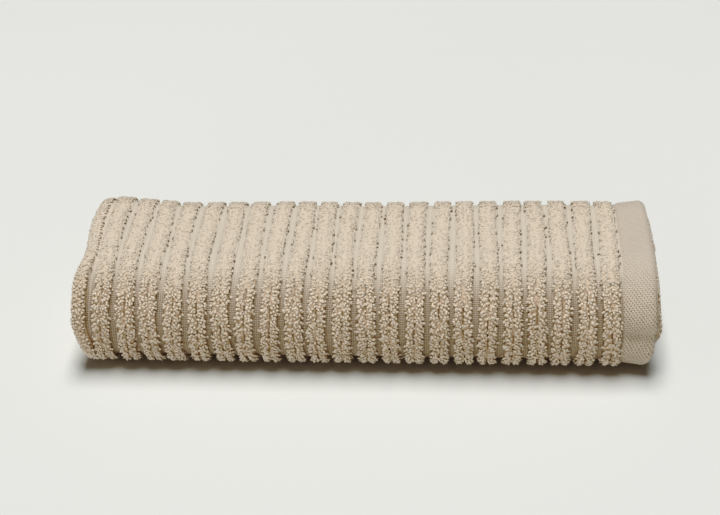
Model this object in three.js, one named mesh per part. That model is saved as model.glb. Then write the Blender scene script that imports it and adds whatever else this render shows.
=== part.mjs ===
// A ribbed terry face towel, 500 by 800 mm, folded in half and then rolled up from one side into
// a flattened roll 400 mm long. Millimetres, +Z up. The roll lies along X with its seen front at
// -Y, and the origin is under its middle, on the surface that it rests on.
//
// The towel is one solid. Cut anywhere along the roll, a layer is doubled cloth: the outer ply,
// the fold at the left end, the under ply, and the two woven end bands at the right end. That
// section is carried round two turns of a flattened spiral, from the loose edge, which lies under
// the roll, to the core.
import * as THREE from 'three';

// The cloth, in layers of two plies
const turns = 2;
const layer = 17.5; // from one turn to the next
const layerGap = 1; // air between two turns
const plyGap = 1.2; // air between the two plies of a layer
const ply = (layer - layerGap - plyGap) / 2;
const underside = 2 * ply + plyGap;

// The roll's outline over the tips of its pile, seen from the right end: depth from the foremost
// line of the roll and height from the surface. It starts at the loose edge, runs forward, up the
// front, over the top and back under. A rounded stretch is a quarter of an ellipse.
const outlineDepth = 124;
const outlineHeight = 81.5;
const looseEdgeDepth = 50;
const stretches = [
  { name: 'base, to the front', straightTo: [22, 0], rows: 2 },
  { name: 'low front', centre: [22, 28], reach: [22, 28], from: 270, rows: 5 },
  { name: 'high front', centre: [46, 28], reach: [46, 48.5], from: 180, rows: 7 },
  { name: 'top', straightTo: [96, outlineHeight], rows: 3 },
  { name: 'high back', centre: [96, 50], reach: [28, 31.5], from: 90, rows: 5 },
  { name: 'back', straightTo: [outlineDepth, 34], rows: 1 },
  { name: 'low back', centre: [98, 34], reach: [26, 34], from: 0, rows: 5 },
  { name: 'base, from the back', straightTo: [looseEdgeDepth, 0], rows: 4 },
];
const climbStart = 0.925; // share of a turn at which a layer begins to climb over the loose edge

// The ribs of pile
const ribCount = 23;
const ribPitch = 16.58;
const firstRib = -195; // this one lies on the fold
const ribHeight = 4.4;
const crestHalf = 4;
const footHalf = 6.2;
const foldedRib = { crest: 0.6, foot: 3 }; // past the start of the fold's bend

// The ribs wander a little and are thicker in places, as they are once the towel is washed
const wandering = { reach: 0.6, wavesPerTurn: 3, phasePerRib: 0.31 };
const thickening = { reach: 0.4, wavesPerTurn: 2, phasePerRib: 0.43 };

// The plain woven band at the hem grows thinner towards its free edge
const bandThickness = 2;
const bandSteps = [
  { fromHem: 0, below: 1.2 },
  { fromHem: 10, below: 2.6 },
  { fromHem: 18.5, below: ribHeight },
];
const underHemRise = 4;
const pileEdge = 2; // where a turn has no ribs, its pile ends this far short of the band

// How far the fold and the two hems stand from the middle of the roll, by the distance round the
// outline from the loose edge. The under ply's hem looks out past the outer one.
const ends = [
  { round: 0, fold: 196, hem: 195, underHem: 195.5 },
  { round: 52, fold: 197, hem: 195.2, underHem: 195.8 },
  { round: 74, fold: 200.6, hem: 198.4, underHem: 200.5 },
  { round: 108, fold: 199.5, hem: 198, underHem: 199.4 },
  { round: 134, fold: 194.8, hem: 197.8, underHem: 199.3 },
  { round: 174, fold: 197.4, hem: 196.9, underHem: 198.6 },
  { round: 202, fold: 196.2, hem: 195.6, underHem: 196.4 },
  { round: 275, fold: 198.6, hem: 197.2, underHem: 198 },
  { round: 400, fold: 196, hem: 195, underHem: 195.5 },
];

// Along the roll its top swells and dips, and the ribs lean to one side there
const topLine = [
  { x: -201, rise: 3.2, lean: 3.4 },
  { x: -178, rise: 3.6, lean: 3 },
  { x: -129, rise: -1.4, lean: 1 },
  { x: -46, rise: 0, lean: 3.1 },
  { x: 4, rise: -0.6, lean: 0.3 },
  { x: 87, rise: 1.2, lean: 0 },
  { x: 137, rise: 1.8, lean: -1.3 },
  { x: 201, rise: 1, lean: -1.2 },
];

function lookUp(table, place, column, at, shape = (share) => share) {
  const after = Math.max(1, table.findIndex((row) => row[place] >= at));
  const [a, b] = [table[after - 1], table[after]];
  return THREE.MathUtils.lerp(a[column], b[column], shape((at - a[place]) / (b[place] - a[place])));
}

const ease = (share) => THREE.MathUtils.smoothstep(share, 0, 1);

// The outline as one closed path, with a curve for each stretch
const outline = new THREE.CurvePath();
let end = new THREE.Vector2(looseEdgeDepth, 0);
for (const { straightTo, centre, reach, from } of stretches) {
  const start = THREE.MathUtils.degToRad(from ?? 0);
  const curve = straightTo
    ? new THREE.LineCurve(end, new THREE.Vector2(...straightTo))
    : new THREE.EllipseCurve(...centre, ...reach, start, start - Math.PI / 2, true);
  outline.add(curve);
  end = curve.getPoint(1);
}
const reached = outline.getCurveLengths();
const girth = reached[reached.length - 1];

// The rows of the mesh, as shares of one turn
const rowsOfTurn = stretches.flatMap(({ rows }, i) => {
  const start = i > 0 ? reached[i - 1] : 0;
  return Array.from({ length: rows }, (_, row) => (start + ((reached[i] - start) * row) / rows) / girth);
});

// A point of the cloth: how many turns in from the loose edge, where along the roll, and how far
// below the pile tips of its own layer. Each turn is the outline drawn in by one more layer.
function clothPoint({ turn, round }, x, below) {
  const climb = ease((round - climbStart) / (1 - climbStart));
  const drawnIn = layer * (turn + climb) + below;
  const edge = outline.getPoint(round);
  const [middleDepth, middleHeight] = [outlineDepth / 2, outlineHeight / 2];
  const y = ((edge.x - middleDepth) * (middleDepth - drawnIn)) / middleDepth;
  const z = middleHeight + ((edge.y - middleHeight) * (middleHeight - drawnIn)) / middleHeight;
  const rise = lookUp(topLine, 'x', 'rise', x);
  return new THREE.Vector3(x, y, z * (1 + rise / outlineHeight));
}

// The four corners of a rib's section, from right to left
function ribStations(rib, round) {
  const wave = ({ reach, wavesPerTurn, phasePerRib }) =>
    reach * Math.sin(2 * Math.PI * (wavesPerTurn * round + phasePerRib * rib));
  const place = firstRib + ribPitch * rib;
  const height = outline.getPoint(round).y / outlineHeight;
  const lean = lookUp(topLine, 'x', 'lean', place) * ease(2 * height - 1);
  const centre = place + lean + wave(wandering);
  const crest = crestHalf + wave(thickening);
  return [
    { x: centre + footHalf, below: ribHeight },
    { x: centre + crest, below: 0 },
    { x: centre - crest, below: 0 },
    { x: centre - footHalf, below: ribHeight },
  ];
}

// A plain skin has a station wherever the top swells or dips, from the band to the fold
const plainStations = (below) => topLine.slice(1, -1).reverse().map(({ x }) => ({ x, below }));
const plainStationsBack = (below) => plainStations(below).reverse();

// The two skins of the doubled cloth, each from the outer hem, round the fold, to the under hem
function clothSection({ turn, round }) {
  const [fold, hem, underHem] = ['fold', 'hem', 'underHem'].map((end) =>
    lookUp(ends, 'round', end, round * girth, ease));
  const bendRadius = underside / 2;
  const bend = bendRadius - fold;
  const bandStart = hem - bandSteps[bandSteps.length - 1].fromHem;

  const outer = bandSteps.map(({ fromHem, below }) => ({ x: hem - fromHem, below }));
  if (turn === 0) {
    for (let rib = ribCount - 1; rib > 0; rib -= 1) {
      outer.push(...ribStations(rib, round));
    }
    outer.push({ x: bend + foldedRib.foot, below: ribHeight }, { x: bend + foldedRib.crest, below: 0 });
  } else {
    outer.push({ x: bandStart - pileEdge, below: 0 }, ...plainStations(0));
  }
  for (const angle of [0, 45, 90, 135, 180]) {
    const turned = THREE.MathUtils.degToRad(angle);
    outer.push({ x: bend - bendRadius * Math.sin(turned), below: bendRadius * (1 - Math.cos(turned)) });
  }
  outer.push(...plainStationsBack(underside));
  outer.push({ x: bandStart, below: underside }, { x: underHem, below: underside - underHemRise });

  const inner = [
    { x: hem, below: bandSteps[0].below + bandThickness },
    { x: bandStart, below: ply },
    ...plainStations(ply),
    { x: bend, below: ply },
    { x: bend, below: ply + plyGap },
    ...plainStationsBack(ply + plyGap),
    { x: bandStart, below: ply + plyGap },
    { x: underHem, below: underside - underHemRise - bandThickness },
  ];
  return { outer, inner };
}

// Each skin of each row is a chain of vertices
const positions = [];
const triangles = [];

function addChain(row, stations) {
  let along = 0;
  return stations.map(({ x, below }, i) => {
    const last = stations[Math.max(0, i - 1)];
    along += Math.hypot(x - last.x, below - last.below);
    positions.push(...clothPoint(row, x, below));
    return { vertex: positions.length / 3 - 1, along };
  });
}

// Two chains are joined by triangles, station to station where they match, and otherwise in step
function joinChains(a, b) {
  const matched = a.length === b.length;
  const progress = (chain, k) => (matched ? k : chain[k].along / chain[chain.length - 1].along);
  let [i, j] = [0, 0];
  while (i < a.length - 1 || j < b.length - 1) {
    const stepOnA = j === b.length - 1 || (i < a.length - 1 && progress(a, i + 1) <= progress(b, j + 1));
    const next = stepOnA ? a[i + 1] : b[j + 1];
    triangles.push(a[i].vertex, b[j].vertex, next.vertex);
    if (stepOnA) {
      i += 1;
    } else {
      j += 1;
    }
  }
}

const rows = [];
for (let turn = 0; turn < turns; turn += 1) {
  rows.push(...rowsOfTurn.map((round) => ({ turn, round })));
}
const chains = rows.map((row) => {
  const { outer, inner } = clothSection(row);
  return { outer: addChain(row, outer), inner: addChain(row, inner) };
});

const first = chains[0];
const last = chains[chains.length - 1];
const hemEdge = ({ outer, inner }) => [outer[0], inner[0]];
const underHemEdge = ({ outer, inner }) => [outer[outer.length - 1], inner[inner.length - 1]];
chains.slice(1).forEach((next, i) => {
  joinChains(chains[i].outer, next.outer);
  joinChains(next.inner, chains[i].inner);
  joinChains(hemEdge(next), hemEdge(chains[i]));
  joinChains(underHemEdge(chains[i]), underHemEdge(next));
});
joinChains(first.inner, first.outer);
joinChains(last.outer, last.inner);

const geometry = new THREE.BufferGeometry();
geometry.setAttribute('position', new THREE.Float32BufferAttribute(positions, 3));
geometry.setIndex(triangles);
geometry.computeBoundingBox();
const middle = geometry.boundingBox.getCenter(new THREE.Vector3());
geometry.translate(-middle.x, -middle.y, -geometry.boundingBox.min.z);
geometry.computeVertexNormals();

const terry = new THREE.MeshStandardMaterial({ color: 0xcdbfa6, roughness: 0.95, metalness: 0 });
const towel = new THREE.Mesh(geometry, terry);
towel.name = 'towel';

const roll = new THREE.Group();
roll.add(towel);
export default roll;
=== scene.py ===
import math

import bpy
import numpy as np
from mathutils import Matrix, Vector


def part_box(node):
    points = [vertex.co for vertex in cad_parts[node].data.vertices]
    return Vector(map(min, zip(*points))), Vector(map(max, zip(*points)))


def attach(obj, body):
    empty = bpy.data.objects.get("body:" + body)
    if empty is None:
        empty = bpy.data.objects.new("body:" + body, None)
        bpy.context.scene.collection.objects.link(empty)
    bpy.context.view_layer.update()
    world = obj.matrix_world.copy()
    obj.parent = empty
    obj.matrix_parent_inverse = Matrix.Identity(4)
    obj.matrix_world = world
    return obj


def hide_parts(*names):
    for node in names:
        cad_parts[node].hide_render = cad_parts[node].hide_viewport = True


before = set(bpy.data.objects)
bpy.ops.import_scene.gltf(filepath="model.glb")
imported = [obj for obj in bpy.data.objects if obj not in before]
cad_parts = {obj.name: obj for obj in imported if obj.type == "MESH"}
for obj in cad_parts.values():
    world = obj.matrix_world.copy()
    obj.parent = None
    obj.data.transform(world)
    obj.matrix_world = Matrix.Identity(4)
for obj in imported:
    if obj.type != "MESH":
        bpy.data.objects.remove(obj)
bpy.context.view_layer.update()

cadLow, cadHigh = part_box("towel")
bpy.ops.object.select_all(action="DESELECT")
draw = np.random.default_rng(23)

# the roll's section over the tips of its pile: depth from its foremost line, height from the
# surface, from the loose edge forward, up the front, over the top and back under
roll = {
    "depth": cadHigh[1] - cadLow[1],
    "height": 0.0815,
    "looseEdge": (0.050, 0.0),
    "layer": 0.0175,  # one doubled layer of cloth, from turn to turn
    "underside": 0.0165,  # of one layer, below its own pile tips
    "climbStart": 0.925,  # share of a turn at which a layer climbs over the loose edge
    "coreEnd": 1.9656,  # turns of cloth in all
    "stretches": [
        {"straightTo": (0.022, 0.0)},  # base, to the front
        {"centre": (0.022, 0.028), "reach": (0.022, 0.028), "start": 270},  # low front
        {"centre": (0.046, 0.028), "reach": (0.046, 0.0485), "start": 180},  # high front
        {"straightTo": (0.096, 0.0815)},  # top
        {"centre": (0.096, 0.050), "reach": (0.028, 0.0315), "start": 90},  # high back
        {"straightTo": (0.124, 0.034)},  # back
        {"centre": (0.098, 0.034), "reach": (0.026, 0.034), "start": 0},  # low back
        {"straightTo": (0.050, 0.0)},  # base, from the back
    ],
    "straightSteps": 60,
    "roundedSteps": 120,
    # how far the fold and the hems stand from the middle of the roll, by the distance round it
    "ends": {
        "round": [0, 0.040, 0.052, 0.064, 0.074, 0.108, 0.134, 0.174, 0.202, 0.230, 0.275, 0.400],
        "fold": [
            0.196, 0.1966, 0.197, 0.1988, 0.2006, 0.1995,
            0.1948, 0.1974, 0.1962, 0.1973, 0.1986, 0.196,
        ],
        "hem": [
            0.195, 0.1952, 0.1970, 0.1986, 0.1988, 0.1982,
            0.1981, 0.1976, 0.1966, 0.1968, 0.1972, 0.195,
        ],
        "underHem": [
            0.1955, 0.1958, 0.1965, 0.2025, 0.2030, 0.2018,
            0.2010, 0.2010, 0.2005, 0.1980, 0.198, 0.1955,
        ],
    },
    # along the roll its top swells and dips, and the ribs lean to one side there
    "topLine": {
        "x": [-0.201, -0.178, -0.129, -0.046, 0.004, 0.087, 0.137, 0.201],
        "rise": [0.0032, 0.0036, -0.0014, 0, -0.0006, 0.0012, 0.0018, 0.001],
        "lean": [0.0034, 0.003, 0.001, 0.0031, 0.0003, 0, -0.0013, -0.0012],
    },
    # the top was pressed flat, and a little further down its colours are painted for the light
    # on top: shares of the height at which each begins, and over which it grows
    "matted": {"from": 0.73, "over": 0.23},
    "worn": {"from": 0.66, "over": 0.28},
}

ribs = {
    "count": 23,
    "first": -0.195,  # this one lies on the fold
    "pitch": 0.01658,
    "height": 0.0044,  # from the ground weave to the tips of the pile
    "wander": {"reach": 0.0006, "wavesPerTurn": 3, "phasePerRib": 0.31},
    # under its loops a rib is a closed bed of pile, with a cleft along its middle
    "bed": {"across": [0, 0.0014, 0.0034, 0.0048, 0.0058], "up": [0.40, 0.92, 0.95, 0.66, 0]},
    "bedHeight": 0.0030,
    "mattedBed": 0.0022,  # on top, where the pile was pressed flat
    "mattedLift": 0.0019,  # of the ground weave there
    "mattedCleft": 0.8,  # how far the cleft is closed there
    "cleftFilled": {"most": 0.45, "waves": [(11, 0.37), (19, 0.71)]},  # here and there
    "cleftWander": {"reach": 0.0005, "within": 0.003, "waves": [(9, 0.61), (17, 0.23)]},
}


def ease(share):
    share = np.clip(share, 0, 1)
    return share * share * (3 - 2 * share)


def easedLookUp(table, place, column, at):
    places, values = np.array(table[place]), np.array(table[column])
    after = np.clip(np.searchsorted(places, at), 1, len(places) - 1)
    share = ease((at - places[after - 1]) / (places[after] - places[after - 1]))
    return values[after - 1] + (values[after] - values[after - 1]) * share


def sectionOutline():
    points = [np.array([roll["looseEdge"]])]
    for stretch in roll["stretches"]:
        if "straightTo" in stretch:
            piece = np.linspace(points[-1][-1], stretch["straightTo"], roll["straightSteps"])[1:]
        else:
            start = stretch["start"]
            angles = np.radians(np.linspace(start, start - 90, roll["roundedSteps"]))
            circle = np.stack([np.cos(angles), np.sin(angles)], -1)
            piece = stretch["centre"] + stretch["reach"] * circle
        points.append(piece)
    points = np.concatenate(points)
    steps = np.linalg.norm(np.diff(points, axis=0), axis=1)
    return points, np.concatenate([[0], np.cumsum(steps)])


outline, reached = sectionOutline()
girth = reached[-1]


def outlineAt(turn):
    distance = (turn % 1) * girth
    return np.interp(distance, reached, outline[:, 0]), np.interp(distance, reached, outline[:, 1])


# a point of the cloth, by its turns in from the loose edge, its place along the roll and its depth
# below the pile tips of its own layer
def clothPoint(turn, x, below):
    climb = ease((turn % 1 - roll["climbStart"]) / (1 - roll["climbStart"]))
    drawnIn = roll["layer"] * (np.floor(turn) + climb) + below
    depth, height = outlineAt(turn)
    halfDepth, halfHeight = roll["depth"] / 2, roll["height"] / 2
    y = (depth - halfDepth) * (halfDepth - drawnIn) / halfDepth
    z = halfHeight + (height - halfHeight) * (halfHeight - drawnIn) / halfHeight
    rise = np.interp(x, roll["topLine"]["x"], roll["topLine"]["rise"])
    return np.stack(np.broadcast_arrays(x, y, z * (1 + rise / roll["height"])), -1)


# 1 on top of the roll and 0 on its front and back
def onTop(turn, zone):
    return ease((outlineAt(turn)[1] / roll["height"] - zone["from"]) / zone["over"]) * (turn < 1)


# how flat the pile was pressed
def matting(turn):
    return onTop(turn, roll["matted"])


# how far the colours are painted for the light that falls on top of the roll
def paintedTopLight(turn):
    return onTop(turn, roll["worn"])


def groundLift(turn):
    return ribs["mattedLift"] * matting(turn)


def bedHeight(turn):
    return ribs["bedHeight"] + (ribs["mattedBed"] - ribs["bedHeight"]) * matting(turn)


def endAt(turn, end):
    return easedLookUp(roll["ends"], "round", end, (turn % 1) * girth)


def ribCentre(rib, turn):
    place = ribs["first"] + ribs["pitch"] * rib
    height = outlineAt(turn)[1] / roll["height"]
    lean = np.interp(place, roll["topLine"]["x"], roll["topLine"]["lean"]) * ease(2 * height - 1)
    wander = ribs["wander"]
    waves = wander["wavesPerTurn"] * (turn % 1) + wander["phasePerRib"] * rib
    return place + lean + wander["reach"] * np.sin(2 * math.pi * waves)


# a mean of waves, each with its waves per turn and its phase per rib
def ripple(at, rib, waves):
    total = 0
    for frequency, phase in waves:
        total = total + np.sin(2 * math.pi * (frequency * at + phase * rib + 0.37 * phase))
    return total / len(waves)


# the wound sheet of ground weave
cloth = {
    "flat": (0.5, 0.8),
    "thickness": 0.0014,
    "rows": 118,
    "bandWidth": 0.0218,
    "bandColumns": 15,
    "bandCrowding": 1.6,  # of its columns, towards the hem
    "bandRise": {
        "fromHem": [0, 0.0012, 0.003, 0.010, 0.0180, 0.0218],
        "below": [0.0030, 0.0018, 0.0014, 0.0022, 0.0030, 0.0044],
    },
    "bandLift": 0.0022,  # on top of the roll
    "bandMeetsRib": {"from": 0.015, "over": 0.0065},
    # low in front the band is pushed in, and less so beside the last rib
    "crease": {"depth": 0.0055, "at": 0.070, "width": 0.006, "lessAtRib": 0.6},
    "foldBed": {"fromBend": [0.0042, 0.0028, 0.0012], "up": [0, 0.75, 0.95]},
    "foldAngles": 11,
    "underStart": 0.008,  # of the plain under side, past the bend
    "underColumns": 26,
    "underBandBelow": 0.0108,
}
outerGround = ribs["height"] + cloth["thickness"] / 2
underGround = roll["underside"] - outerGround
foldRadius = roll["underside"] / 2


def bandStations(turn, hem):
    fromHem = cloth["bandWidth"] * np.linspace(0, 1, cloth["bandColumns"]) ** cloth["bandCrowding"]
    below = np.interp(fromHem, cloth["bandRise"]["fromHem"], cloth["bandRise"]["below"])
    atRib = ease((fromHem - cloth["bandMeetsRib"]["from"]) / cloth["bandMeetsRib"]["over"])
    lift = matting(turn) * (cloth["bandLift"] + (ribs["mattedLift"] - cloth["bandLift"]) * atRib)
    crease = cloth["crease"]
    pushed = np.exp(-((((turn % 1) * girth - crease["at"]) / crease["width"]) ** 2)) * (turn < 1)
    pushedIn = crease["depth"] * pushed * (1 - crease["lessAtRib"] * atRib)
    return hem - fromHem, below - lift + pushedIn + cloth["thickness"] / 2, 0 * fromHem


def ribStations(turn):
    across, bed = (np.array(ribs["bed"][key]) for key in ("across", "up"))
    across = np.concatenate([across[::-1], -across[1:]])
    bed = np.concatenate([bed[::-1], bed[1:]])
    bed = bed + (1 - bed) * (bed > 0) * ribs["mattedCleft"] * matting(turn)
    filled, wander = ribs["cleftFilled"], ribs["cleftWander"]
    nearCleft = np.abs(across) < wander["within"]
    stations = []
    for rib in range(ribs["count"] - 1, 0, -1):
        fill = filled["most"] * np.maximum(ripple(turn, rib, filled["waves"]), 0)
        up = bed + fill * (across == 0)
        wave = wander["reach"] * ripple(turn, rib, wander["waves"]) * nearCleft
        below = outerGround - groundLift(turn) - up * bedHeight(turn)
        stations.append((ribCentre(rib, turn) + across + wave, below, up))
    return stations


def foldStations(bend):
    radius = foldRadius - outerGround + ribs["bedHeight"]
    angles = np.radians(np.linspace(0, 180, cloth["foldAngles"]))
    edges, up = (np.array(cloth["foldBed"][key]) for key in ("fromBend", "up"))
    return [
        (bend + edges, outerGround - up * ribs["bedHeight"], up),
        (bend - radius * np.sin(angles), foldRadius - radius * np.cos(angles), 0 * angles + 1),
        (bend + edges[::-1], underGround + up[::-1] * ribs["bedHeight"], up[::-1]),
    ]


def underStations(bend, underHem):
    bandStart = underHem - cloth["bandWidth"]
    plain = np.linspace(bend + cloth["underStart"], bandStart, cloth["underColumns"])
    share = np.linspace(0, 1, cloth["bandColumns"])[1:]
    below = underGround + (cloth["underBandBelow"] - underGround) * share
    return [
        (plain, 0 * plain + underGround, 0 * plain),
        (bandStart + share * cloth["bandWidth"], below, 0 * share),
    ]


# places along the roll, depths and how much pile stands there, for one turn, from the outer hem
# round the fold to the under hem
def clothRow(turn):
    fold, hem, underHem = (endAt(turn, end) for end in ("fold", "hem", "underHem"))
    bend = foldRadius - fold
    parts = [bandStations(turn, hem), *ribStations(turn), *foldStations(bend)]
    parts = parts + underStations(bend, underHem)
    return [np.concatenate(column) for column in zip(*parts)]


def paint(mesh, name, values):
    mesh.attributes.new(name, "FLOAT", "POINT").data.foreach_set("value", values)


def windSheet():
    turns = np.linspace(0, roll["coreEnd"], cloth["rows"])
    rows = [clothRow(turn) for turn in turns]
    x, below, bed = (np.array([row[k] for row in rows]) for k in range(3))
    columns = x.shape[1]
    places = clothPoint(turns[:, None], x, below)
    steps = np.hypot(np.diff(x, axis=1), np.diff(below, axis=1)).mean(0)
    flatAcross = np.concatenate([[0], np.cumsum(steps)])

    # a flat grid of the towel, wound up point by point
    bpy.ops.mesh.primitive_grid_add(
        x_subdivisions=columns - 1, y_subdivisions=cloth["rows"] - 1, size=1
    )
    sheet = bpy.context.object
    sheet.name = sheet.data.name = "towelCloth"
    flat = np.empty(len(sheet.data.vertices) * 3)
    sheet.data.vertices.foreach_get("co", flat)
    flat = flat.reshape(-1, 3)
    column = np.rint((flat[:, 0] + 0.5) * (columns - 1)).astype(int)
    row = np.rint((flat[:, 1] + 0.5) * (cloth["rows"] - 1)).astype(int)
    sheet.data.vertices.foreach_set("co", places[row, column].ravel())

    uv = sheet.data.uv_layers.active or sheet.data.uv_layers.new(name="flatTowel")
    corner = np.empty(len(sheet.data.loops), int)
    sheet.data.loops.foreach_get("vertex_index", corner)
    uvs = np.stack([flatAcross[column[corner]], turns[row[corner]] * girth], -1)
    uv.data.foreach_set("uv", uvs.ravel())
    paint(sheet.data, "pileBed", bed[row, column])
    # how far the colours are painted for the light on top of the roll
    paint(sheet.data, "worn", paintedTopLight(turns)[row])
    sheet.data.update()

    solidify = sheet.modifiers.new("thickness", "SOLIDIFY")
    solidify.thickness = cloth["thickness"]
    solidify.offset = 0
    bpy.ops.object.modifier_apply(modifier=solidify.name)
    bpy.ops.object.mode_set(mode="EDIT")
    bpy.ops.mesh.select_all(action="SELECT")
    bpy.ops.mesh.normals_make_consistent(inside=False)
    bpy.ops.object.mode_set(mode="OBJECT")
    bpy.ops.object.shade_smooth()
    return sheet, flatAcross[-1]


# one loop of pile yarn, modelled once: an arch whose ends go down into the bed
yarn = {
    "radius": 0.00086,
    "archRadius": 0.00052,
    "sides": 4,
    "archSteps": 3,
    "merge": 1e-6,
    "floorGap": 0.0002,  # no loop comes closer to the surface under the roll
}


def modelLoop():
    bpy.ops.mesh.primitive_circle_add(
        vertices=yarn["sides"],
        radius=yarn["radius"],
        fill_type="NGON",
        location=(yarn["archRadius"], 0, 0),
    )
    loop = bpy.context.object
    bpy.ops.object.transform_apply(location=True, rotation=False, scale=False)
    bpy.ops.object.mode_set(mode="EDIT")
    bpy.ops.mesh.select_all(action="SELECT")
    bpy.ops.mesh.spin(steps=yarn["archSteps"], angle=math.pi, center=(0, 0, 0), axis=(0, 1, 0))
    bpy.ops.mesh.select_all(action="SELECT")
    bpy.ops.mesh.remove_doubles(threshold=yarn["merge"])
    bpy.ops.mesh.normals_make_consistent(inside=False)
    bpy.ops.object.mode_set(mode="OBJECT")
    points = np.array([vertex.co for vertex in loop.data.vertices])
    faces = [list(polygon.vertices) for polygon in loop.data.polygons]
    bpy.data.objects.remove(loop)
    return points, faces


loopPoints, loopFaces = modelLoop()
loopTop = loopPoints[:, 2].max()
print("loop of yarn:", len(loopPoints), "points,", len(loopFaces), "faces")


def unit(vectors):
    return vectors / np.linalg.norm(vectors, axis=-1, keepdims=True)


# directions turned by an angle from the first towards the second
def turned(first, second, angle):
    return first * np.cos(angle)[:, None] + second * np.sin(angle)[:, None]


# around the roll, along the roll and out of the cloth, at points of the cloth
def directions(turn, x, below):
    step = 1e-4
    around = unit(clothPoint(turn + step, x, below) - clothPoint(turn - step, x, below))
    out = unit(clothPoint(turn, x, below - step) - clothPoint(turn, x, below + step))
    along = unit(np.cross(around, out))
    along = np.where(along[:, :1] < 0, -along, along)
    return around, along, out


# joins a copy of the loop at every place: out and side set how it stands and turns, lean and bend
# where its arch droops to and how far, stretch its height, and the last how far its colours are
# painted for the light on top of the roll
def standLoops(name, places, out, side, lean, bend, stretch, worn):
    count, size = len(places), len(loopPoints)
    third = unit(np.cross(out, side))
    side = unit(np.cross(third, out))
    local = loopPoints[None] * np.stack([np.ones(count), np.ones(count), stretch], -1)[:, None]
    points = places[:, None] + local[..., :1] * side[:, None] + local[..., 1:2] * third[:, None]
    points = points + local[..., 2:] * out[:, None]
    share = loopPoints[:, 2] / loopTop
    points = points + (share**2)[None, :, None] * (bend[:, None] * lean)[:, None]
    points[..., 2] = np.maximum(points[..., 2], yarn["floorGap"])

    mesh = bpy.data.meshes.new(name)
    starts = range(0, count * size, size)
    faces = [[start + k for k in face] for start in starts for face in loopFaces]
    mesh.from_pydata(points.reshape(-1, 3), [], faces)
    paint(mesh, "yarnTone", np.repeat(draw.random(count), size))
    paint(mesh, "worn", np.repeat(worn, size))
    paint(mesh, "yarnHeight", np.tile(share, count))
    mesh.shade_smooth()
    piece = bpy.data.objects.new(name, mesh)
    bpy.context.collection.objects.link(piece)
    return piece


# the pile of the ribs
pile = {
    "start": 0.002,  # shares of the outer turn between which it stands
    "end": 0.94,
    "firstRow": 0.002,  # distance round the roll
    "seenFrom": 0.028,  # where it comes out in front
    "hiddenLast": 0.048,  # the last stretch, under the roll again
    "spacing": 0.0022,  # between loops, round the roll
    "hiddenSpacing": 0.0034,
    "across": [-0.0046, -0.0032, -0.0017, 0, 0.0017, 0.0032, 0.0046],  # columns of loops on a rib
    "tilt": [-0.72, -0.42, -0.15, 0, 0.15, 0.42, 0.72],
    "stretch": 1.5,
    "droop": (0.0004, 0.0003),  # mean and spread
    "sunk": 0.0005,
    # how unevenly the loops stand
    "jitter": 0.0006,
    "spread": {
        "aside": 0.0005, "tilt": 0.20, "slant": 0.24, "twist": 0.5, "stretch": 0.13, "lean": 0.6,
    },
    "sway": {"aside": 0.0006, "tilt": 0.22, "waves": [(7, 0.61), (13, 0.23), (29, 0.47)]},
    "widen": {"aside": 0.0004, "waves": [(31, 0.53), (67, 0.31)]},
    "clump": {"slant": 0.30, "waves": [(53, 0.71), (37, 0.19), (83, 0.43)]},
    "braid": 0.3,
    "bare": 0.02,  # share of loops that are missing
    "bareCleft": 0.40,  # more of them along the middle of a rib
    # matted pile takes a share of the painted light on top
    "matted": {"lean": 0.30, "spread": 0.20, "shorter": 0.85, "worn": 0.3},
    # in patches on top, the pile still stands at the right side of a rib
    "shaded": {
        "most": 0.5, "from": 0.0005, "over": 0.0030, "waves": [(9, 0.43), (21, 0.17), (5, 0.77)],
    },
    "brush": {"from": 0.058, "to": 0.042, "longer": 0.1, "fan": 0.2},  # splayed low in front
    "ribsInPiece": 4,
}


def ribRows():
    base = np.arange(pile["firstRow"], pile["seenFrom"], pile["hiddenSpacing"])
    seen = np.arange(pile["seenFrom"], girth - pile["hiddenLast"], pile["spacing"])
    back = np.arange(girth - pile["hiddenLast"], girth * pile["end"], pile["hiddenSpacing"])
    return np.concatenate([base, seen, back]) / girth


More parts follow.
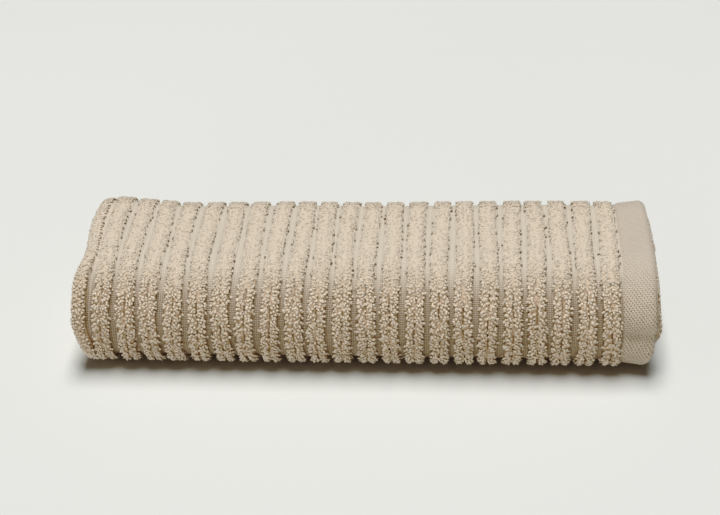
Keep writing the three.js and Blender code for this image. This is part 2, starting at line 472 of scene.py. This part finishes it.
def ribLoops(rib):
    turn, column = np.meshgrid(ribRows(), range(len(pile["across"])), indexing="ij")
    turn, column = turn.ravel(), column.ravel()
    across, tilt = (np.array(pile[key])[column] for key in ("across", "tilt"))
    count = len(turn)
    spread, brush, shaded = pile["spread"], pile["brush"], pile["shaded"]
    offset = (column % 2) * pile["spacing"] / 2
    turn = turn + (offset + draw.normal(0, pile["jitter"], count)) / girth
    turn = np.clip(turn, pile["start"], pile["end"])
    matted = matting(turn)
    splayed = ease((brush["from"] - turn * girth) / (brush["from"] - brush["to"]))

    half = rib + 0.5 * (across > 0)  # the two halves of a rib gather and widen apart
    sway = ripple(turn, rib, pile["sway"]["waves"])
    gather = pile["clump"]["slant"] * (1 - matted) * ripple(turn, half, pile["clump"]["waves"])
    widen = pile["widen"]["aside"] * ripple(turn, half, pile["widen"]["waves"])
    across = across + pile["sway"]["aside"] * sway + widen * np.sign(across)
    across = across + draw.normal(0, spread["aside"], count)
    patch = ease(0.5 + ripple(turn, rib, shaded["waves"]))
    right = ease((across - shaded["from"]) / shaded["over"])
    matted = matted * (1 - shaded["most"] * right * patch)

    x = ribCentre(rib, turn) + across
    bed = np.interp(np.abs(across), ribs["bed"]["across"], ribs["bed"]["up"])
    bed = bed + (1 - bed) * ribs["mattedCleft"] * matted
    below = ribs["height"] - groundLift(turn) - bed * bedHeight(turn) + pile["sunk"]
    around, along, out = directions(turn, x, below)

    tilt = tilt * (1 + brush["fan"] * splayed) + pile["sway"]["tilt"] * sway
    tilt = tilt + pile["matted"]["lean"] * matted
    tilt = tilt + draw.normal(0, spread["tilt"] + pile["matted"]["spread"] * matted)
    slant = gather + draw.normal(0, spread["slant"] + pile["matted"]["spread"] * matted)
    stand = unit(turned(out, along, tilt) + around * slant[:, None])
    twist = math.pi / 2 + pile["braid"] * np.sign(across) + draw.normal(0, spread["twist"], count)
    side = turned(along, around, twist)
    stretch = pile["stretch"] - pile["matted"]["shorter"] * matted + brush["longer"] * splayed
    stretch = stretch * (1 + draw.normal(0, spread["stretch"], count))
    lean = along * np.sign(across)[:, None]
    lean = lean + around * draw.normal(0, spread["lean"], count)[:, None]
    bend = np.abs(draw.normal(*pile["droop"], count))
    inCleft = (column == len(pile["across"]) // 2) * (1 - matted)
    kept = draw.random(count) > pile["bare"] + pile["bareCleft"] * inCleft
    # the painted light on top: partly as far as the pile is matted, the rest by the height on the
    # roll; less of it where the pile still stands at a rib's right side
    worn = pile["matted"]["worn"] * matted + (1 - pile["matted"]["worn"]) * paintedTopLight(turn)
    loops = (clothPoint(turn, x, below), stand, side, lean, bend, stretch, worn)
    return [values[kept] for values in loops]


def joinSets(sets):
    return [np.concatenate(columns) for columns in zip(*sets)]


sheet, sheetLength = windSheet()
print("cloth wound:", len(sheet.data.polygons), "faces, flat length", round(sheetLength, 3))

pieces = []
for first in range(1, ribs["count"], pile["ribsInPiece"]):
    members = range(first, min(first + pile["ribsInPiece"], ribs["count"]))
    loops = joinSets([ribLoops(rib) for rib in members])
    pieces.append(standLoops(f"pileRibs{first:02d}", *loops))
print("pile stood:", [len(piece.data.polygons) for piece in pieces], "faces")


# the pile round the folded end, on both turns
foldPile = {
    "radius": 0.0063,
    "past": 0.0022,  # the bend, on the two faces of the cloth
    "columns": 11,
    "stretch": 1.5,
    "shorter": 0.55,  # on top of the roll
    "droop": (0.0003, 0.0003),
    "coreSpacing": 0.0024,
    "spread": {
        "aside": 0.0004, "tilt": 0.18, "slant": 0.20, "twist": 0.45, "stretch": 0.12, "lean": 1,
    },
}


def foldLoops(turnStart, turnEnd, spacing):
    rows = np.arange(turnStart, turnEnd, spacing / girth)
    half = math.pi * foldPile["radius"] / 2
    reach = half + foldPile["past"]
    stations = np.linspace(-reach, reach, foldPile["columns"])
    turn, station = np.meshgrid(rows, range(foldPile["columns"]), indexing="ij")
    turn, station = turn.ravel(), station.ravel()
    count = len(turn)
    spread = foldPile["spread"]
    offset = (station % 2) * spacing / 2
    turn = turn + (offset + draw.normal(0, pile["jitter"], count)) / girth
    turn = np.clip(turn, turnStart, turnEnd)
    distance = stations[station] + draw.normal(0, spread["aside"], count)
    angle = np.clip(distance, -half, half) / foldPile["radius"]  # 0 where the fold faces outwards
    flat = np.maximum(np.abs(distance) - half, 0)
    x = foldRadius - endAt(turn, "fold") - foldPile["radius"] * np.cos(angle) + flat
    below = foldRadius + foldPile["radius"] * np.sin(angle)
    around, along, out = directions(turn, x, below)

    tilt = angle + draw.normal(0, spread["tilt"], count)
    slant = draw.normal(0, spread["slant"], count)
    stand = unit(turned(-along, -out, tilt) + around * slant[:, None])
    twist = draw.normal(0, spread["twist"], count)
    side = turned(turned(-out, along, angle), around, twist)
    stretch = foldPile["stretch"] - foldPile["shorter"] * matting(turn)
    stretch = stretch * (1 + draw.normal(0, spread["stretch"], count))
    lean = around * draw.normal(0, spread["lean"], count)[:, None]
    bend = np.abs(draw.normal(*foldPile["droop"], count))
    return clothPoint(turn, x, below), stand, side, lean, bend, stretch, paintedTopLight(turn)


outerLoops = foldLoops(pile["start"], pile["end"], pile["spacing"])
pieces.append(standLoops("pileFold", *outerLoops))
coreLoops = foldLoops(1 + pile["start"], roll["coreEnd"], foldPile["coreSpacing"])
pieces.append(standLoops("pileFoldCore", *coreLoops))
print("fold covered:", len(pieces[-2].data.polygons), "and", len(pieces[-1].data.polygons), "faces")


# where the under hem looks out past the outer one its threads are frayed, most of all in two tufts
hemFray = {
    "tufts": [(0.158, 16), (0.076, 14)],  # distance round the roll and number of threads
    "tuftReach": 0.0022,
    "from": 0.060,
    "to": 0.200,
    "loose": 60,
    "inside": {"tuft": 0.0002, "loose": 0.0012},  # of the hem's edge
    "stretch": 0.9,
    "droop": (0.0003, 0.0003),
    "upward": 0.1,
    "spread": {"up": 0.0004, "tilt": 0.35, "slant": 0.4, "twist": 0.6, "stretch": 0.25, "lean": 1},
}


def frayLoops():
    spread = hemFray["spread"]
    middles = np.concatenate([np.full(amount, middle) for middle, amount in hemFray["tufts"]])
    loose = draw.uniform(hemFray["from"], hemFray["to"], hemFray["loose"])
    tufts = middles + draw.normal(0, hemFray["tuftReach"], len(middles))
    turn = np.concatenate([tufts, loose]) / girth
    count = len(turn)
    inTuft = np.arange(count) < len(tufts)
    inside = np.where(inTuft, hemFray["inside"]["tuft"], hemFray["inside"]["loose"])
    x = endAt(turn, "underHem") - inside
    below = cloth["underBandBelow"] + draw.normal(0, spread["up"], count)
    around, along, out = directions(turn, x, below)
    tilt = draw.normal(hemFray["upward"], spread["tilt"], count)
    slant = draw.normal(0, spread["slant"], count)
    stand = unit(along + out * tilt[:, None] + around * slant[:, None])
    side = unit(around + out * draw.normal(0, spread["twist"], count)[:, None])
    stretch = hemFray["stretch"] * (1 + draw.normal(0, spread["stretch"], count))
    lean = around * draw.normal(0, spread["lean"], count)[:, None]
    bend = np.abs(draw.normal(*hemFray["droop"], count))
    return clothPoint(turn, x, below), stand, side, lean, bend, stretch, 0 * turn


pieces.append(standLoops("pileFray", *frayLoops()))
print("hem frayed:", len(pieces[-1].data.polygons), "faces")


# a socket of a material's nodes: + - and * on it add Math nodes, and node() adds any other
class Wire:
    def __init__(self, tree, socket=None):
        self.tree = tree
        self.socket = socket

    def node(self, kind, settings, values, output=0):
        added = self.tree.nodes.new(kind)
        for key, value in settings.items():
            setattr(added, key, value)
        for key, value in values.items():
            if isinstance(value, Wire):
                self.tree.links.new(value.socket, added.inputs[key])
            else:
                added.inputs[key].default_value = value
        return Wire(self.tree, added.outputs[output])

    def calc(self, operation, *values):
        return self.node("ShaderNodeMath", {"operation": operation}, dict(enumerate(values)))

    def __add__(self, other):
        return self.calc("ADD", self, other)

    def __radd__(self, other):
        return self.calc("ADD", other, self)

    def __sub__(self, other):
        return self.calc("SUBTRACT", self, other)

    def __rsub__(self, other):
        return self.calc("SUBTRACT", other, self)

    def __mul__(self, other):
        return self.calc("MULTIPLY", self, other)

    def __rmul__(self, other):
        return self.calc("MULTIPLY", other, self)

    # a wave that repeats at every length
    def wave(self, length):
        return self.calc("COSINE", self * (2 * math.pi / length))

    def above(self, edge):
        return self.calc("GREATER_THAN", self, edge)

    # 0 up to low, 1 from high, and smooth in between
    def between(self, low, high):
        settings = {"interpolation_type": "SMOOTHSTEP"}
        values = {"Value": self, "From Min": low, "From Max": high}
        return self.node("ShaderNodeMapRange", settings, values, "Result")

    def attribute(self, name):
        return self.node("ShaderNodeAttribute", {"attribute_name": name}, {}, "Fac")

    def mixColors(self, share, first, second, blend="MIX"):
        settings = {"data_type": "RGBA", "blend_type": blend}
        return self.node("ShaderNodeMix", settings, {0: share, 6: first, 7: second}, 2)

    # fine noise at a place
    def noise(self, scale):
        values = {"Vector": self, "Scale": scale, "Detail": 2.0}
        return self.node("ShaderNodeTexNoise", {}, values, "Fac")

    def bump(self, strength):
        values = {"Height": self, "Strength": strength, "Distance": 0.0003}
        return self.node("ShaderNodeBump", {}, values, "Normal")

    def into(self, socket):
        self.tree.links.new(self.socket, socket)


cotton = {"Roughness": 0.75, "Specular IOR Level": 0.4, "Sheen Roughness": 0.5}


def newMaterial(name, sheen):
    material = bpy.data.materials.new(name)
    material.use_nodes = True
    surface = material.node_tree.nodes["Principled BSDF"]
    for socket, value in {**cotton, "Sheen Weight": sheen}.items():
        surface.inputs[socket].default_value = value
    return material, Wire(material.node_tree), surface


yarnLook = {
    # painted shade: the root colours darken the foot of each loop, where the loops shade one
    # another
    "root": (0.41, 0.30, 0.205, 1),
    "tip": (0.71, 0.61, 0.485, 1),
    # painted for the light that falls on top of the roll
    "wornRoot": (0.58, 0.485, 0.38, 1),
    "wornTip": (0.575, 0.50, 0.40, 1),
    "rootToTip": (0.0, 0.55),  # shares of a loop's height over which its painted root shade gives way to the tip colour
    "shade": 0.14,  # between one loop and the next
    "fibreScale": 2600.0,
    "bump": 0.25,
    "sheen": 0.4,
}


def yarnMaterial():
    material, shader, surface = newMaterial("loopedCotton", yarnLook["sheen"])
    # the second colour of each pair is painted for the light on top of the roll
    worn = shader.attribute("worn")
    root = shader.mixColors(worn, yarnLook["root"], yarnLook["wornRoot"])
    tip = shader.mixColors(worn, yarnLook["tip"], yarnLook["wornTip"])
    # painted shade: each loop grows darker towards its root
    height = shader.attribute("yarnHeight")
    color = shader.mixColors(height.between(*yarnLook["rootToTip"]), root, tip)
    darker = 1 - shader.attribute("yarnTone") * yarnLook["shade"]
    grey = shader.node("ShaderNodeCombineColor", {}, {0: darker, 1: darker, 2: darker})
    shader.mixColors(1.0, color, grey, "MULTIPLY").into(surface.inputs["Base Color"])
    place = shader.node("ShaderNodeTexCoord", {}, {}, "Object")
    fibre = place.noise(yarnLook["fibreScale"])
    fibre.bump(yarnLook["bump"]).into(surface.inputs["Normal"])
    return material


weaveLook = {
    # painted for how light falls: the plain colours for the front and back of the roll, the second
    # of each pair for its top
    "ground": (0.44, 0.36, 0.285, 1),
    "wornGround": (0.56, 0.495, 0.405, 1),  # painted paler, for the light on top of the roll
    # the bed under the loops, painted darker than their tips for the shade deep in the pile
    "underPile": (0.58, 0.45, 0.33, 1),
    # painted shade in the cleft along a rib's middle and at its foot
    "cleft": (0.27, 0.19, 0.125, 1),
    "wornUnderPile": (0.60, 0.505, 0.395, 1),
    "threadGapShade": (0.19, 0.14, 0.09, 1),  # painted shade between threads
    "wornGap": (0.49, 0.425, 0.345, 1),
    "band": (0.58, 0.50, 0.40, 1),
    # painted shade between the band's threads
    "bandGapShade": (0.45, 0.375, 0.29, 1),
    "wornBand": (0.525, 0.45, 0.37, 1),
    "wornBandGap": (0.455, 0.385, 0.31, 1),
    "dot": (0.30, 0.225, 0.155, 1),
    "thread": {"across": 0.0013, "round": 0.0014, "warp": 0.2, "weft": 0.3},
    # rows of slanted dots on the band, moved about by a slow noise
    "dots": {"across": 0.0022, "round": 0.0018, "slant": 0.25, "level": 0.45},
    "drift": {"scale": 160.0, "across": 0.001, "round": 0.0012, "size": 0.9},
    "tuftScale": 620.0,
    # where one colour takes over from another, by the height of the threads, dots, tufts or pile
    "edges": {
        "thread": (0.15, 0.65),
        "bandThread": (0.1, 0.7),
        "dot": (0.15, 0.75),
        "tuft": (0.3, 0.7),
        "pile": (0.1, 0.8),
        "cleftIn": (0.1, 0.35),
        "cleftOut": (0.5, 0.8),
    },
    "tuftHeight": 3,
    "bump": 0.7,
    "sheen": 0.25,
}


def weaveMaterial():
    material, shader, surface = newMaterial("wovenCotton", weaveLook["sheen"])
    edges, thread = weaveLook["edges"], weaveLook["thread"]
    dots, drift = weaveLook["dots"], weaveLook["drift"]
    flat = shader.node("ShaderNodeUVMap", {"uv_map": sheet.data.uv_layers.active.name}, {}, "UV")
    across = shader.node("ShaderNodeSeparateXYZ", {}, {0: flat}, "X")
    around = shader.node("ShaderNodeSeparateXYZ", {}, {0: flat}, "Y")
    place = shader.node("ShaderNodeTexCoord", {}, {}, "Object")
    bed = shader.attribute("pileBed")
    # how far the colours are painted for the light on top of the roll
    worn = shader.attribute("worn")

    inBand = 1 - across.above(cloth["bandWidth"])
    inBand = inBand + across.above(sheetLength - cloth["bandWidth"])
    threads = across.wave(thread["across"]) * thread["warp"]
    threads = threads + around.wave(thread["round"]) * thread["weft"] + 0.5
    slow = place.noise(drift["scale"])
    slanted = around + across * dots["slant"] + slow * drift["round"]
    spots = (across + slow * drift["across"]).wave(dots["across"]) * slanted.wave(2 * dots["round"])
    dot = (spots + slow * drift["size"] - dots["level"]).between(*edges["dot"])
    tuftValues = {"Vector": place, "Scale": weaveLook["tuftScale"]}
    tufts = shader.node("ShaderNodeTexVoronoi", {}, tuftValues, "Distance")

    # each colour has a second one, painted for the light that falls on top of the roll
    def topLightMix(color, topLightColor):
        return shader.mixColors(worn, weaveLook[color], weaveLook[topLightColor])

    underPile = topLightMix("underPile", "wornUnderPile")
    # painted shade among the tufts of the bed, in the loops' root colour, not on top of the roll
    dark = tufts.between(*edges["tuft"]) * (1 - worn)
    underPile = shader.mixColors(dark, underPile, yarnLook["root"])
    # painted shade between the threads of the weave
    weave, threadGapShade = topLightMix("ground", "wornGround"), topLightMix("threadGapShade", "wornGap")
    ground = shader.mixColors(threads.between(*edges["thread"]), threadGapShade, weave)
    ground = shader.mixColors(bed.between(*edges["pile"]), ground, underPile)
    # painted shade in the cleft and at the foot of each rib, not on top of the roll
    cleft = bed.between(*edges["cleftIn"]) * (1 - bed.between(*edges["cleftOut"])) * (1 - worn)
    ground = shader.mixColors(cleft, ground, weaveLook["cleft"])
    weave, threadGapShade = topLightMix("band", "wornBand"), topLightMix("bandGapShade", "wornBandGap")
    band = shader.mixColors(threads.between(*edges["bandThread"]), threadGapShade, weave)
    band = shader.mixColors(dot * (1 - worn), band, weaveLook["dot"])
    shader.mixColors(inBand, ground, band).into(surface.inputs["Base Color"])

    height = threads + (1 - dot * 2) * inBand
    height = height * (1 - bed) - tufts * bed * weaveLook["tuftHeight"]
    height.bump(weaveLook["bump"]).into(surface.inputs["Normal"])
    return material


sheet.data.materials.clear()
sheet.data.materials.append(weaveMaterial())
yarnSurface = yarnMaterial()
for piece in pieces:
    piece.data.materials.append(yarnSurface)

for piece in [sheet, *pieces]:
    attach(piece, "root")
    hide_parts("towel")
print("pieces declared:", 1 + len(pieces))


# the table, the light and the camera
stage = {
    "floorSize": 12,
    "floorColor": (0.648, 0.65, 0.619, 1),
    "floorRoughness": 0.8,
    "skyColor": (1.0, 0.97, 0.92, 1),
    "skyStrength": 0.08,
    "softKey": {"place": (0, 0.35, 4.2), "aim": (0, 0.35, 0), "size": (1.4, 3.2), "energy": 216},
    "frontFill": {"place": (-0.4, -3.2, 0.35), "aim": (0, 0, 0), "size": (3, 0.6), "energy": 37},
    "sideFill": {"place": (-2.8, -0.4, 0.5), "aim": (0, 0, 0), "size": (2, 0.7), "energy": 13},
    "gamma": 0.88,
    # how red, green and blue print in the deep shade, below a tone that stays
    "deepShade": [(0.10, 0.074), (0.10, 0.062), (0.10, 0.053)],
    "toneThatStays": 0.22,
}


def buildFloor():
    bpy.ops.mesh.primitive_plane_add(size=stage["floorSize"], location=(0, 0, 0))
    floor = bpy.context.object
    floor.name = floor.data.name = "paleFloor"
    material = bpy.data.materials.new("palePaper")
    material.use_nodes = True
    surface = material.node_tree.nodes["Principled BSDF"]
    surface.inputs["Base Color"].default_value = stage["floorColor"]
    surface.inputs["Roughness"].default_value = stage["floorRoughness"]
    floor.data.materials.append(material)


def lightStage():
    world = bpy.data.worlds.new("studio")
    bpy.context.scene.world = world
    world.use_nodes = True
    sky = world.node_tree.nodes["Background"]
    sky.inputs["Color"].default_value = stage["skyColor"]
    sky.inputs["Strength"].default_value = stage["skyStrength"]

    for name in ("softKey", "frontFill", "sideFill"):
        values = stage[name]
        bpy.ops.object.light_add(type="AREA", location=values["place"])
        lamp = bpy.context.object
        lamp.name = name
        lamp.data.shape = "RECTANGLE"
        lamp.data.size, lamp.data.size_y = values["size"]
        lamp.data.energy = values["energy"]
        facing = Vector(values["aim"]) - lamp.location
        lamp.rotation_euler = facing.to_track_quat("-Z", "Y").to_euler()


def printTones():
    view = bpy.context.scene.view_settings
    view.view_transform = "Standard"
    view.gamma = stage["gamma"]
    view.use_curve_mapping = True
    for curve, (dark, printed) in zip(view.curve_mapping.curves, stage["deepShade"]):
        curve.points.new(dark, printed)
        curve.points.new(stage["toneThatStays"], stage["toneThatStays"])
    view.curve_mapping.update()


shot = {
    "down": math.radians(32.0),
    "yaw": math.radians(4.914),
    "roll": math.radians(2.139),
    "distance": 1.05503,
    "aside": 0.002949,
    "lift": -0.020733,
    "aim": (0, 0, 0.035),
    "lens": 74.0,  # on a 36 mm sensor
    "nearest": 0.05,
    "farthest": 50,
}


def placeCamera():
    yaw, down, turn = shot["yaw"], shot["down"], shot["roll"]
    right = Vector((math.cos(yaw), math.sin(yaw), 0))
    back = Vector((-math.sin(yaw), math.cos(yaw), 0))
    rise = back * math.sin(down) + Vector((0, 0, math.cos(down)))
    ahead = back * math.cos(down) - Vector((0, 0, math.sin(down)))
    bpy.ops.object.camera_add()
    camera = bpy.context.object
    place = Vector(shot["aim"]) - right * shot["aside"] - rise * shot["lift"]
    place = place - ahead * shot["distance"]
    rightTurned = right * math.cos(turn) - rise * math.sin(turn)
    riseTurned = right * math.sin(turn) + rise * math.cos(turn)
    facing = Matrix((rightTurned, riseTurned, -ahead)).transposed().to_4x4()
    camera.matrix_world = Matrix.Translation(place) @ facing
    camera.data.lens = shot["lens"]
    camera.data.clip_start = shot["nearest"]
    camera.data.clip_end = shot["farthest"]
    bpy.context.scene.camera = camera


buildFloor()
lightStage()
printTones()
placeCamera()
print("stage and camera set")
